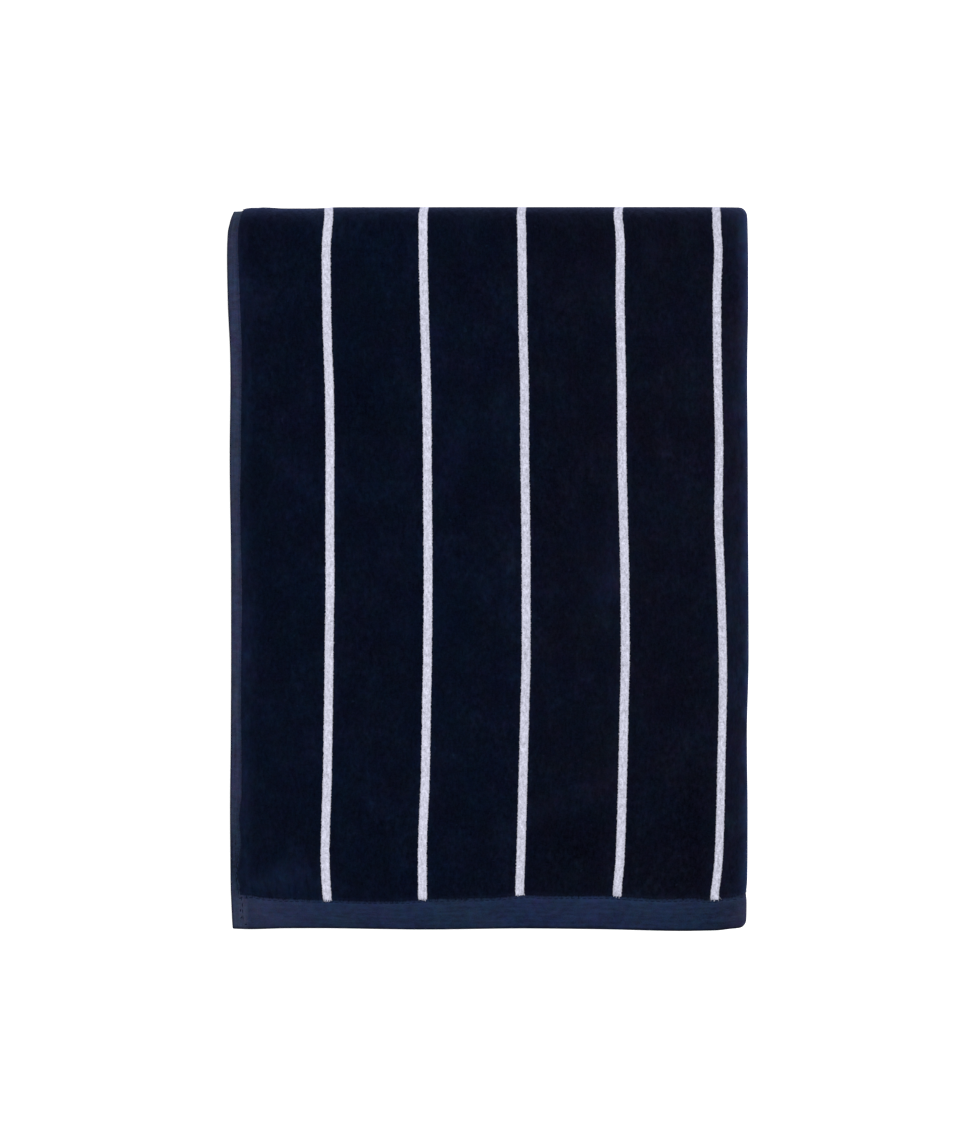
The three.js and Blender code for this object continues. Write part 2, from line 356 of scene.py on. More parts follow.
# Where the nap is brushed up and looks lighter, or lies down and looks darker: as above, with the
# strength of the mark in place of the height. The rows along the right-hand fold, from about 280 mm
# across, and along the far bend, from 400 mm along, are painted sheen and painted shade where the
# turned pile is seen at a low angle.
brushed_and_sheen = [
    (210, 200, 30, 13, 80, 0.55), (154, 202, 9, 7, 0, 0.4), (167, 62, 30, 6, 33, 0.5),
    (213, 86, 13, 6, 80, 0.45), (75, 75, 15, 3, -37, 0.5), (117, 97, 9, 8, 0, 0.35),
    (34, 30, 17, 9, 20, 1.3), (20, 23, 12, 6, -10, 0.9), (199, 361, 13, 9, 60, 0.35),
    (239, 378, 11, 4, 75, 0.55), (154, 291, 15, 9, 80, 0.35), (126, 271, 13, 6, 80, 0.35),
    (9, 330, 34, 4, 90, 0.45), (10, 160, 36, 5, 90, 0.6), (10, 60, 34, 5, 90, 0.35),
    (75, 296, 20, 9, 85, -0.35), (176, 240, 20, 12, 70, -0.25), (190, 44, 14, 10, 0, -0.35),
    (256, 60, 40, 10, 88, -0.35), (110, 180, 40, 16, 80, -0.25), (190, 49, 110, 26, 0, -0.2),
    (11, 80, 70, 6, 90, 0.35), (12, 222, 34, 6, 90, 0.25), (32, 105, 30, 14, 90, 0.2),
    (8, 24, 6, 2, 65, -0.6), (290, 200, 9000, 3.5, 90, 3.8), (288, 200, 9000, 9, 90, 0.6),
    (286, 392, 12, 5, 90, 1.2), (289, 385, 40, 4, 90, 1.6), (284, 45, 26, 6, 90, -0.5),
    (284, 195, 110, 8, 90, 0.4), (282, 378, 42, 8, 90, -0.4), (288, 324, 38, 5, 90, 0.5),
    (288, 100, 34, 5, 90, 0.5), (24, 404, 24, 6, 0, 2.2), (190, 402, 75, 7, 0, -0.15),
    (258, 402, 14, 7, 0, -0.5), (282, 402, 8, 8, 0, 0.8), (45, 24, 9, 6, 10, 0.8),
    (22, 28, 10, 7, 0, 0.35), (99, 168, 20, 5, 88, 0.4), (121, 184, 14, 6, 85, 0.28),
    (74, 150, 20, 11, 90, -0.26), (207, 194, 9, 7, 0, 0.25), (248, 174, 6, 5, 0, 0.5),
    (258, 387, 10, 5, 85, 0.4), (168, 117, 10, 4, 90, 0.4), (238, 28, 12, 8, 0, -0.35),
    (158, 254, 16, 5, 90, 0.2), (201, 251, 14, 6, 80, -0.22), (146, 107, 10, 7, 0, -0.3),
    (140, 361, 14, 9, 0, -0.22), (125, 388, 8, 6, 0, 0.25), (286, 372, 34, 5, 90, -0.55),
    (279.5, 200, 9000, 3.5, 90, 0.32), (212, 200, 9000, 5, 90, 0.24), (116, 200, 9000, 5, 90, 0.16),
    (268, 200, 9000, 4, 90, 0.16), (59.5, 200, 9000, 4, 90, 0.13), (114, 178, 24, 6, 90, 0.35),
    (282, 56, 10, 5, 90, 0.45), (183, 343, 12, 8, 0, -0.26), (192, 252, 10, 7, 0, -0.26),
    (86, 62, 14, 8, 0, -0.24), (60, 353, 9, 5, 90, 0.3), (126, 220, 14, 7, 90, -0.22),
]
# Where the hems are paler or darker, in the same way. The row at 290 mm across is a painted
# highlight where the end hem turns round the right-hand fold.
hem_tones_and_fold_light = [
    (8, 9, 36, 14, 0, 0.5), (3, 37, 24, 8, 90, -0.45), (2, 12, 16, 3, 90, -0.2),
    (3, 112, 20, 8, 90, -0.08), (228, 11, 26, 5, 0, 0.1), (274, 9, 18, 12, 0, -0.2),
    (290, 9, 4, 14, 0, 0.5), (3, 300, 60, 8, 90, 0.05), (5, 26, 7, 0.8, 84, -0.6),
]


def smooth(t):
    s = np.clip(t, 0, 1)
    return s * s * (3 - 2 * s)


def fading(distance, reach):
    return np.maximum(0, 1 - np.maximum(0, distance) / reach) ** 2


def reading(rows, at, column):
    """A column of a table at the places `at`, on a soft curve that never overshoots its rows."""
    keys = rows[:, 0]
    values = rows[:, column]
    rise = np.diff(values) / np.diff(keys)
    before, after = rise[:-1], rise[1:]
    both = np.where(before * after > 0, before + after, 1)
    slope = np.concatenate([[0], np.where(before * after > 0, 2 * before * after / both, 0), [0]])
    i = np.clip(np.searchsorted(keys, at, side="right") - 1, 0, len(keys) - 2)
    step = keys[i + 1] - keys[i]
    t = np.clip((at - keys[i]) / step, 0, 1)
    bow = (1 - t) * t * ((1 - t) * slope[i] - t * slope[i + 1]) * step
    return values[i] + (values[i + 1] - values[i]) * smooth(t) + bow


def rolling(x, y, length, seed, waves=11):
    """Soft random hills about `length` apart, mostly between -1 and 1."""
    draw = np.random.default_rng(seed)
    total = np.zeros(np.broadcast(x, y).shape)
    for _ in range(waves):
        heading = draw.uniform(0, 2 * math.pi)
        wave = length * draw.uniform(0.7, 1.5)
        phase = draw.uniform(0, 2 * math.pi)
        run = x * math.cos(heading) + y * math.sin(heading)
        total += np.sin(2 * math.pi * run / wave + phase)
    return total / math.sqrt(waves)


def marks(rows, x, y):
    """The sum of soft oval marks, each of the height in its row."""
    total = np.zeros(np.broadcast(x, y).shape)
    for across, along, half_length, half_width, heading, height in rows:
        turn = math.radians(heading)
        dx = x - across * mm
        dy = y - along * mm
        far = (dx * math.cos(turn) + dy * math.sin(turn)) / (half_length * mm)
        aside = (dy * math.cos(turn) - dx * math.sin(turn)) / (half_width * mm)
        total += height * np.exp(-(far ** 2 + aside ** 2))
    return total


def on_fold(angle):
    def shape(s):
        return np.sign(s) * np.abs(s) ** roundness

    return shape(np.cos(angle)), shape(np.sin(angle))


def half_thickness(across, along):
    from_side = np.minimum(across, cloth_width - across)
    from_end = np.minimum(along, cloth_length - along)
    pile = smooth(np.minimum(from_side - side_hem, from_end - end_hem) / hem_step + 0.5)
    half = (hem_thickness + (pile_thickness - hem_thickness) * pile) / 2
    sewn = np.exp(-(((from_side - side_stitch) / side_pull_reach) ** 2))
    sewn = np.maximum(sewn, np.exp(-(((from_end - end_stitch) / end_pull_reach) ** 2)))
    rim = np.clip(np.minimum(from_side, from_end) / (hem_thickness / 2), 0, 1)
    return (half - stitch_pull * sewn * (1 - pile)) * np.sqrt(1 - (1 - rim) ** 2)


def slumped_share(side, distance):
    fall, reach, above = (slump[side][key] for key in ("fall", "reach", "above"))
    return 1 - fall / (stack_height - above) * fading(distance, reach)


def lift(across, along):
    """How far the top layer stands off the one under it, past what the gap already gives."""
    shows = 1 - smooth((along - far_centre) / swells_fade)
    shows = shows * smooth((top_width + right_arc / 2 - across) / swells_end)
    from_hems = np.minimum(across, along)
    inside = smooth((from_hems - swells_begin["from"]) / swells_begin["reach"])
    slight = rolling(across, along, rolls["length"], rolls["seed"]) + 0.5
    height = (mm * marks(swells, across, along) + rolls["height"] * slight) * inside
    wave = rolling(across, ruffle_slant * along, end_ruffle["length"], end_ruffle["seed"])
    ruffle = pucker * fading(np.abs(along - end_stitch), end_ruffle["reach"]) * wave
    wave = rolling(ruffle_slant * across, along, side_ruffle["length"], side_ruffle["seed"])
    ruffle = ruffle + pucker * fading(np.abs(across - side_stitch), side_ruffle["reach"]) * wave
    return (height + ruffle) * shows


def droop(across, along):
    """How far the side hems hang down, on the strips whose open side faces up."""
    faces_up = 1 - smooth((along - far_centre) / droop_fade)
    third = way[4]["begins"]
    faces_up = faces_up + smooth((along - third) / droop_begins) * (along < way[5]["begins"])
    wave = rolling(along, 0 * along, droop_wave["length"], droop_wave["seed"])
    wave = 1 + droop_wave["share"] * wave
    return hem_droop * faces_up * wave * fading(across, droop_reach)


def fold_in_three(across, along, out):
    """Where a point lies across the strip, and how deep. `out` is towards the outer face."""
    # The cloth keeps its thickness where the stack sinks, so it is swollen here in advance.
    def swell(x):
        return 1 / slumped_share("right", folded_width - x)

    def spread(x):
        return (strip_height - pile_thickness * swell(x)) / 2

    lift_here = lift(across, along)
    top_depth = strip_middle - spread(across) - out * swell(across)
    top_depth = top_depth - lift_here + droop(across, along)

    turned = np.clip(across - top_width, 0, right_arc)
    sideways, up = on_fold(math.pi / 2 - math.pi * turned / right_arc)
    half = spread(right_centre) + out * swell(right_centre)
    right_x = right_centre + (right_turn + out) * sideways
    right_depth = strip_middle - half * up - lift_here * np.maximum(up, 0)

    lower_x = right_centre - (across - top_width - right_arc)
    lower_depth = strip_middle + spread(lower_x) + out * swell(lower_x)

    left_depth = strip_middle + left_turn
    left_begins = top_width + right_arc + lower_width
    turned = np.clip(across - left_begins, 0, left_arc)
    sideways, up = on_fold(math.pi / 2 - math.pi * turned / left_arc)
    left_x = left_centre - (left_turn + out) * sideways
    left_fold_depth = left_depth + (left_turn + out) * up

    middle_x = left_centre + across - left_begins - left_arc
    middle_depth = left_depth - left_turn - out

    layers = [across <= top_width, across <= top_width + right_arc, across <= left_begins,
              across <= left_begins + left_arc]
    x = np.select(layers, [across, right_x, lower_x, left_x], middle_x)
    depth = np.select(layers, [top_depth, right_depth, lower_depth, left_fold_depth], middle_depth)
    return x, depth


def straying(across, along):
    """The end hem that shows wanders, and so does its seam."""
    edge = reading(end_edge, across, 1)
    seam = reading(end_seam, across, 1) - end_hem
    in_hem = edge + (seam - edge) * along / end_hem
    return np.where(along < end_hem, in_hem, seam * (1 - smooth((along - end_hem) / end_reach)))


def fold_in_halves(across, along, depth):
    """Where a point of the strip lies along the towel, and how high."""
    y = np.zeros(along.shape)
    z = np.zeros(along.shape)
    for piece in way:
        here = along >= piece["begins"] - hair
        s = along - piece["begins"]
        if piece["flat"]:
            stray = straying(across, along) if piece is way[0] else 0
            run = piece["start"] + piece["heading"] * s + stray
            height = piece["face"] + piece["inward"] * depth
        else:
            turn = piece["from"] + (piece["to"] - piece["from"]) * s / piece["length"]
            outwards, up = on_fold(np.radians(np.clip(turn, lowest_turn, highest_turn)))
            radius = piece["radius"] + piece["grow"] * depth
            run = piece["centre"][0] + radius * outwards
            height = piece["centre"][1] + radius * up
        y = np.where(here, run, y)
        z = np.where(here, height, z)
    return y, z


def pushed(across, along, y):
    """How far the top layer is pushed to the right, between the side edge and the right fold."""
    stripes = np.arange(1, stripes_shown + 1) * stripe_pitch
    stations = np.concatenate([[0, side_hem], stripes, [top_width + right_arc]])
    shifts = np.zeros((len(stations),) + y.shape)
    shifts[1] = reading(side_seam, y, 1)
    for k in range(1, stripes_shown + 1):
        shifts[k + 1] = reading(stripe_lines, y, k)
    i = np.clip(np.searchsorted(stations, across) - 1, 0, len(stations) - 2)
    share = smooth((across - stations[i]) / (stations[i + 1] - stations[i]))
    low = np.take_along_axis(shifts, i[None], 0)[0]
    high = np.take_along_axis(shifts, i[None] + 1, 0)[0]
    shows = 1 - smooth((along - far_centre) / push_fade)
    return np.where(across < stations[-1], (low + (high - low) * share) * shows, 0)


def rounding(y, radius):
    """How far a round corner lies in from the side, this far from the near edge."""
    return radius - np.sqrt(radius ** 2 - np.clip(radius - y, 0, radius) ** 2)


def settle(along, x, y, z):
    """The stack as it lies: its edges wander, and it sinks under its own weight."""
    from_right = folded_width - x
    aside = 0
    for side, towards, distance in (("left", -1, x), ("right", 1, from_right)):
        column = 1 if side == "left" else 2
        out = reading(edge_lines, y, column) + reading(strip_lines, along, column)
        inset = rounding(y, near_corners[side]) * fading(distance, corner_reach)
        aside = aside + towards * (out * fading(distance, edge_reach) - inset)

    height = z
    for side, distance in (("right", from_right), ("left", x), ("near", y)):
        above = slump[side]["above"]
        sunk = above + (height - above) * slumped_share(side, distance)
        height = np.where(height > above, sunk, height)
    middle = np.sin(math.pi * np.clip(z / stack_height, 0, 1))
    by_edge = fading(np.minimum(np.minimum(x, from_right), y), sway_wave["reach"])
    wave = rolling(x, y, sway_wave["length"], sway_wave["seed"])
    height = height + sway * wave * middle * by_edge

    tight = smooth((x - tight_bend["from"]) / tight_bend["reach"])
    tight = 1 - tight_bend["share"] * (1 - tight)
    stands_out = reading(far_lines, x, 1) * (y - far_centre) / far_radius
    far = far_centre + (y - far_centre) * tight * (1 + sag * fading(z, far_radius)) + stands_out
    near = near_centre + (y - near_centre) * (1 + sag * fading(z, near_radius))
    spread = np.where(y > far_centre, far, y)
    spread = np.where((y < near_centre) & (z < slump["near"]["above"]), near, spread)
    return x + aside, spread, height


def folded(across, along, out):
    """Where points of the cloth lie. `out` is 1 on the face that shows and -1 on the back."""
    across, along = np.broadcast_arrays(np.asarray(across, float), np.asarray(along, float))
    x, depth = fold_in_three(across, along, out * half_thickness(across, along))
    y, z = fold_in_halves(across, along, depth)
    x = x + pushed(across, along, y)
    return np.stack(settle(along, x, y, z), -1)


def lines(*stretches):
    """Places on a line, from stretches that each give a start, an end and a count of steps."""
    places = [np.linspace(start, end, steps + 1) for start, end, steps in stretches]
    return np.unique(np.concatenate(places).round(line_decimals))


# The lines woven into the mesh are close where the cloth shows and sparse where it is hidden.
line_decimals = 9
by_right_fold = 256 * mm  # past this, the lines across are closer
steps_across = {"top": 76, "by_right_fold": 20, "right_fold": 10, "left_fold": 8}
steps_along = {0: 114, 1: 22, 2: 50, 3: 12, 5: 6}  # for the pieces of the way that need their own
rim_lines = hem_thickness / 2 * np.array([0, 0.07, 0.3, 0.65, 1])
side_lines = np.concatenate([rim_lines, mm * np.array([1.6, 2.9, 3.9, 4.6, 5.3, 5.8, 6.2])])
side_lines = np.concatenate([side_lines, mm * np.array([6.5, 6.8, 7.2, 8])])
end_lines_in = np.concatenate([rim_lines, mm * np.array([1.5, 2.5, 3.6, 5, 8, 11, 13.8, 15.2, 16])])
end_lines_in = np.concatenate([end_lines_in, mm * np.array([16.8, 17.5, 17.8, 18.1, 18.5, 19.2])])
hidden_across = mm * np.array([10, 18, 30, 60, 100, 150, 200, 240, 256, 267, 277])
hidden_along = mm * np.array([12, 16, 20, 25, 30, 36, 45, 58, 74, 92, 112, 134, 156, 180, 204, 228,
                              252, 276, 298, 318, 336, 352, 366, 378])
lower_begins = top_width + right_arc
left_begins = lower_begins + lower_width
middle_begins = left_begins + left_arc
across_lines = np.unique(np.concatenate([
    side_lines,
    lines((side_lines[-1], by_right_fold, steps_across["top"])),
    lines((by_right_fold, top_width, steps_across["by_right_fold"])),
    lines((top_width, lower_begins, steps_across["right_fold"])),
    lower_begins + right_centre - hidden_across,
    lines((left_begins, middle_begins, steps_across["left_fold"])),
    middle_begins + hidden_across[hidden_across < middle_width] - left_centre,
    cloth_width - side_lines,
]).round(line_decimals))
along_lines = [end_lines_in]
for i, piece in enumerate(way):
    if i in steps_along:
        starts = max(piece["begins"], end_lines_in[-1])
        along_lines.append(lines((starts, piece["begins"] + piece["length"], steps_along[i])))
    else:
        along_lines.append(piece["begins"] + piece["heading"] * (hidden_along - piece["start"]))
along_lines.append(cloth_length - end_lines_in)
along_lines = np.unique(np.concatenate(along_lines).round(line_decimals))

columns = len(across_lines)
rows = len(along_lines)
across_grid, along_grid = np.meshgrid(across_lines, along_lines)
face_points = folded(across_grid, along_grid, 1)
back_points = folded(across_grid, along_grid, -1)
every_point = np.concatenate([face_points, back_points]).reshape(-1, 3)
box_middle = (every_point.min(0) + every_point.max(0)) / 2
to_frame = np.array([
    (towel_low.x + towel_high.x) / 2 - box_middle[0],
    (towel_low.y + towel_high.y) / 2 - box_middle[1],
    towel_low.z - every_point[:, 2].min(),
])

# The two faces share their outermost points, where the cloth's edge is round.
index = np.arange(rows * columns).reshape(rows, columns)
edge = np.zeros((rows, columns), bool)
edge[0], edge[-1], edge[:, 0], edge[:, -1] = True, True, True, True
back_index = np.where(edge, index, rows * columns + np.cumsum(~edge).reshape(rows, columns) - 1)
points = np.concatenate([face_points.reshape(-1, 3), back_points[~edge]]) + to_frame


def cells(grid, turned):
    corners = [grid[:-1, :-1], grid[:-1, 1:], grid[1:, 1:], grid[1:, :-1]]
    return np.stack(corners[::-1] if turned else corners, -1).reshape(-1, 4)


quads = np.concatenate([cells(index, False), cells(back_index, True)])
mesh = bpy.data.meshes.new("towel_cloth")
mesh.from_pydata(points.tolist(), [], quads.tolist())
mesh.validate()
cloth = bpy.data.objects.new("towel_cloth", mesh)
scene.collection.objects.link(cloth)

# Each point keeps its place on the flat cloth, in metres, as its UV.
flat_places = np.stack([across_grid, along_grid], -1)
flat_places = np.concatenate([flat_places.reshape(-1, 2), flat_places[~edge]])
uv_map = mesh.uv_layers.new(name="flat_cloth")
uv_map.data.foreach_set("uv", flat_places[quads.ravel()].astype(np.float32).ravel())
# The marks become attributes on the mesh: the nap marks with their painted sheen on the folds, and
# the hem tones with their painted highlight at the fold.
for name, table in (("nap_and_sheen", brushed_and_sheen), ("hem_tone_and_light", hem_tones_and_fold_light)):
    tone = marks(table, flat_places[:, 0], flat_places[:, 1])
    tone_layer = mesh.attributes.new(name, "FLOAT", "POINT")
    tone_layer.data.foreach_set("value", tone.astype(np.float32))

middles = flat_places[quads].mean(1)
from_edge = np.minimum(
    np.minimum(middles[:, 0], cloth_width - middles[:, 0]) - side_hem,
    np.minimum(middles[:, 1], cloth_length - middles[:, 1]) - end_hem,
)
on_back = np.arange(len(quads)) >= len(quads) // 2
material_of = np.where(from_edge < -hem_step / 2, 2, np.where(on_back, 1, 0))
mesh.polygons.foreach_set("material_index", material_of.astype(np.int32))
mesh.shade_smooth()

# The pile is very dark navy, a little more purple towards the right-hand fold, and the stripes are
# off-white. Both are sheared level, so they show as fine grain with softly brushed places.
navy = (0.0021, 0.0038, 0.0108, 1)
purple_navy = (0.0028, 0.0036, 0.0088, 1)
off_white = (0.55, 0.553, 0.668, 1)
stripe_width = 4.72 * mm
stripe_narrowing = 0.14 * mm  # on each side, by the right-hand fold
stripe_edge = 0.3 * mm
stripe_shade = 1 * mm  # the pile is darker this far out from a stripe
stripe_glow = (1.2 * mm, 3 * mm)  # and a little lighter out to here
hem_brushes = 8 * mm  # the pile is rubbed up this far from a side hem
seam_brushes = 2 * mm  # and this far from an end hem
# The stretches over which the pile or its stripes change, from the side hem or the near edge.
stripes_narrow = (240 * mm, 270 * mm)
stripes_shaded = (110 * mm, 160 * mm)
pile_purple = (100 * mm, 240 * mm)
fold_sheen_bluer = (283 * mm, 288 * mm)
bend_sheen_purple = {"along": (400 * mm, 406 * mm), "across": (90 * mm, 130 * mm)}
velour_sheen = 0.12
velour_tint = (0.36, 0.45, 1, 1)
sheen_roughness = 0.5
sea_tinge = (0.72, 1.15, 1.13, 1)
plum_tinge = (1.28, 0.85, 0.87, 1)
green_tinge = (0.98, 1.14, 0.85, 1)
violet_tinge = (1.02, 0.86, 1.15, 1)


def flat_place(shade):
    return shade.node("UVMap", {"uv_map": "flat_cloth"})


def dyed(place, colour, strength, redder=0):
    """`colour` drifting to sea blue or plum, and to green or violet, as dye takes unevenly."""
    hue = 0.5 + redder + (place.noise(20, 6, 1.0) - 0.5) * strength
    turned = place.stretched((1, 1, 1), 0.9)
    cast = 0.5 + (turned.noise(33, 6, 1.0) - 0.5) * strength
    for tinge in (hue.mix(sea_tinge, plum_tinge), cast.mix(green_tinge, violet_tinge)):
        colour = place.node("VectorMath", {"operation": "MULTIPLY"}, {0: colour, 1: tinge})
    return colour


def velour():
    material, shade = new_material("velour")
    place = flat_place(shade)
    across = shade.node("SeparateXYZ", {}, {"Vector": place})
    along = shade.node("SeparateXYZ", {}, {"Vector": place}, output=1)
    from_stripe = across.maths("PINGPONG", across, stripe_pitch / 2)

    # Grain and tufts are 1 and 2 mm across, and leave the stripes with a ragged edge.
    grain = place.noise(1100, 3, 0.6)
    tufts = place.stretched((1, 0.55, 1)).noise(620, 2, 0.55)
    ragged = from_stripe + (tufts - 0.5) * (0.9 * mm) + (grain - 0.5) * (1.5 * mm)
    by_fold = across.between(*stripes_narrow)
    half = stripe_width / 2 - by_fold * stripe_narrowing
    white = 1 - (ragged - half).between(-stripe_edge, stripe_edge)
    beside = 1 - (ragged - half).between(0, stripe_shade)
    near = 1 - (ragged - half).between(*stripe_glow)
    lint = place.noise(300, 2, 0.5).between(0.7, 0.76)

    # The nap is brushed up beside the hems, and in the marks that the mesh carries, which also hold
    # painted sheen and painted shade along the right-hand fold and the far bend.
    from_side = across.maths("MINIMUM", across, cloth_width - across)
    beside_hem = 1 - from_side.between(side_hem, side_hem + hem_brushes)
    brushed_up_and_sheen = shade.node("Attribute", {"attribute_name": "nap_and_sheen"}, {}, output="Fac")
    from_end = along.maths("MINIMUM", along, cloth_length - along)
    by_seam = 1 - from_end.between(end_hem, end_hem + seam_brushes)
    brushed_up_and_sheen = brushed_up_and_sheen + beside_hem * 0.9 + by_seam * 0.6

    # Softer tones lie over the grain: mottle 3 mm across, patches 13 and drifts 45, with strokes
    # where the nap is brushed up.
    drifts = place.noise(22, 2, 0.5)
    patches = place.stretched((1, 0.6, 1), 0.5).noise(75, 3, 0.6)
    mottle = place.stretched((1, 0.7, 1)).noise(330, 2, 0.55)
    strokes = place.stretched((1, 0.22, 1), -0.25).noise(420, 2, 0.5)
    clouds = (drifts - 0.5) * 0.9 + (patches - 0.5) * 1.3 + (mottle - 0.5) * 1.2
    level = 0.95 + clouds + clouds * clouds * 1.5
    # The grain and tufts are painted darker where they sit low: painted shade between the tufts,
    # over the pile's own uneven tone.
    level = level + (grain - 0.5) * 1.6 + (tufts - 0.5) * 1.2
    level = level + brushed_up_and_sheen * (0.75 + (strokes - 0.5) * 1.6 + (patches - 0.5) * 1.2)
    level = level * (1 + near * 0.2 - beside * 0.5)
    level = level.maths("MAXIMUM", level, 0.25) + lint * 0.9
    # Painted sheen colour: the pile is painted bluer on the right-hand fold and more purple along
    # the far bend, in the hue that the velour's sheen shows there.
    at_fold_sheen = across.between(*fold_sheen_bluer)
    at_bend_sheen = along.between(*bend_sheen_purple["along"]) * across.between(*bend_sheen_purple["across"])
    purple = across.between(*pile_purple) - at_fold_sheen * 0.6 + at_bend_sheen * 0.7
    pile = level.dim(dyed(place, purple.between(0, 1).mix(navy, purple_navy), 4.4))
    # Painted shade: the stripes are painted darker towards the right-hand fold, to hold back the
    # lamp's light there, and their grain and tufts are painted darker where they sit low.
    stripe_shade_level = 1.04 - across.between(*stripes_shaded) * 0.07 - by_fold * 0.1
    speckle = stripe_shade_level + (grain - 0.5) * 1.2 + (tufts - 0.5) * 1.1
    colour = white.mix(pile, speckle.dim(off_white))

    # The nap leans one way here and another there, which shows most at a low angle.
    leans = drifts + patches * 0.6 + mottle * 0.12
    leaning = shade.node("Bump", {}, {"Height": leans, "Strength": 1.0, "Distance": 4 * mm})
    normal = shade.node("Bump", {}, {
        "Height": grain * 0.5 + tufts,
        "Strength": 0.6,
        "Distance": 0.5 * mm,
        "Normal": leaning,
    })
    surface = shade.node("BsdfPrincipled", {}, {
        "Base Color": colour,
        "Roughness": 0.95,
        "Specular IOR Level": 0.0,
        "Sheen Weight": velour_sheen,
        "Sheen Roughness": sheen_roughness,
        "Sheen Tint": velour_tint,
        "Normal": normal,
    })
    shade.node("OutputMaterial", {}, {"Surface": surface})
    return material


# The back keeps its loops, so it is coarser and duller than the face.
loops_to_the_metre = 620.0
loop_edge = 0.8 * mm
terry_sheen = 0.08


def terry():
    material, shade = new_material("terry_loops")
    place = flat_place(shade)
    across = shade.node("SeparateXYZ", {}, {"Vector": place})
    from_stripe = across.maths("PINGPONG", across, stripe_pitch / 2)
    settings = {"feature": "F1", "distance": "EUCLIDEAN"}
    loops = shade.node("TexVoronoi", settings, {"Vector": place, "Scale": loops_to_the_metre})
    ragged = from_stripe + (loops - 0.5) * (1.2 * mm)
    white = 1 - ragged.between(stripe_width / 2, stripe_width / 2 + loop_edge)
    # Painted shade: each loop is painted darker towards its edge, where the loops dip between each
    # other.
    level = 1.4 - loops
    colour = white.mix(level.dim(navy), level.dim(off_white))
    height = 1 - loops
    normal = shade.node("Bump", {}, {"Height": height, "Strength": 0.9, "Distance": 0.8 * mm})
    surface = shade.node("BsdfPrincipled", {}, {
        "Base Color": colour,
        "Roughness": 1.0,
        "Specular IOR Level": 0.1,
        "Sheen Weight": terry_sheen,
        "Sheen Roughness": sheen_roughness,
        "Sheen Tint": velour_tint,
        "Normal": normal,
    })
    shade.node("OutputMaterial", {}, {"Surface": surface})
    return material


# The hems are plain weave in slate blue yarn, with fine ribs along them and a cloudy tone, and
# painted shade at their rolled edges and beside the pile.
slate = (0.0112, 0.0208, 0.0560, 1)
plum_slate = (0.0138, 0.0200, 0.0475, 1)
pale_slate = (0.0288, 0.0380, 0.0820, 1)
yarn_pitch = 0.55 * mm
# The stretches over which the hems change, from the side edge or the end, and across the towel.
hems_meet = (side_hem - 0.5 * mm, side_hem + 2.5 * mm)
rim_shade_reach = (0.3 * mm, 1.2 * mm)
side_shade = (2.8 * mm, side_hem)
end_light = (end_hem - 5 * mm, end_hem - 1 * mm)
end_shade = (end_hem - 2.4 * mm, end_hem - 0.4 * mm)
hem_plum = (245 * mm, 285 * mm)


def hem_weave():
    material, shade = new_material("hem_weave")
    place = flat_place(shade)
    across = shade.node("SeparateXYZ", {}, {"Vector": place})
    along = shade.node("SeparateXYZ", {}, {"Vector": place}, output=1)
    from_side = across.maths("MINIMUM", across, cloth_width - across)
    on_side = 1 - from_side.between(*hems_meet)
    warp = across.maths("SINE", across * (2 * math.pi / yarn_pitch))
    weft = along.maths("SINE", along * (2 * math.pi / yarn_pitch))
    fine = place.noise(1500, 2, 0.6)
    cloudy = place.noise(60, 3, 0.6)
    ribs_along = place.stretched((1, 0.04, 1)).noise(900, 2, 0.5)
    ribs_across = place.stretched((0.08, 1, 1)).noise(700, 2, 0.5)
    ribs = on_side * ribs_along + (1 - on_side) * ribs_across
    blotches = place.stretched((1, 1.4, 1)).noise(260, 2, 0.6)
    level = 0.9 + (ribs - 0.5) * 0.8 + (cloudy - 0.5) * 0.6 + (fine - 0.5) * 1.1
    level = level + (blotches - 0.5) * 0.9
    # The hem tones, with the painted highlight where the end hem turns round the right-hand fold.
    hem_tone_and_light = shade.node("Attribute", {"attribute_name": "hem_tone_and_light"}, {}, output="Fac")
    from_end = along.maths("MINIMUM", along, cloth_length - along)
    under_pile = from_end.between(*end_light) * (1 - on_side)
    # Painted shade: the end hem is painted lighter towards the pile and darker towards its edge,
    # for the way it tilts.
    slope = (from_end / end_hem - 0.5) * (1 - on_side)
    # Painted shade: the hems are darker at their rolled outer edges, on the side hem towards the
    # pile, and on the end hem just under the pile.
    turned = 1 - from_end.maths("MINIMUM", from_end * 0.6, from_side).between(*rim_shade_reach)
    side_pile_shade = from_side.between(*side_shade) * on_side
    shaded = from_end.between(*end_shade) * (1 - on_side)
    level = level + hem_tone_and_light + under_pile * 0.2 + slope * 0.2
    level = level * (1 - turned * 0.55) * (1 - side_pile_shade * 0.16) * (1 - shaded * 0.45)
    level = level * (1 + (warp * weft) * 0.06)
    level = level.maths("MAXIMUM", level, 0.2)
    plum = hem_tone_and_light * 1.4 + across.between(*hem_plum) * 0.9
    yarn = on_side.mix(plum.between(0, 1).mix(slate, plum_slate), pale_slate)
    colour = level.dim(dyed(place, yarn, 3.4, hem_tone_and_light * 0.7))
    height = ribs + fine * 0.6 + warp * weft * 0.25 + blotches * 0.8
    normal = shade.node("Bump", {}, {"Height": height, "Strength": 0.5, "Distance": 0.25 * mm})
    surface = shade.node("BsdfPrincipled", {}, {
        "Base Color": colour,
        "Roughness": 0.85,
        "Specular IOR Level": 0.05,
        "Normal": normal,
    })
    shade.node("OutputMaterial", {}, {"Surface": surface})
    return material


velour_material = velour()
for material in (velour_material, terry(), hem_weave()):
    mesh.materials.append(material)

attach(cloth, "root")
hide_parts("towel")


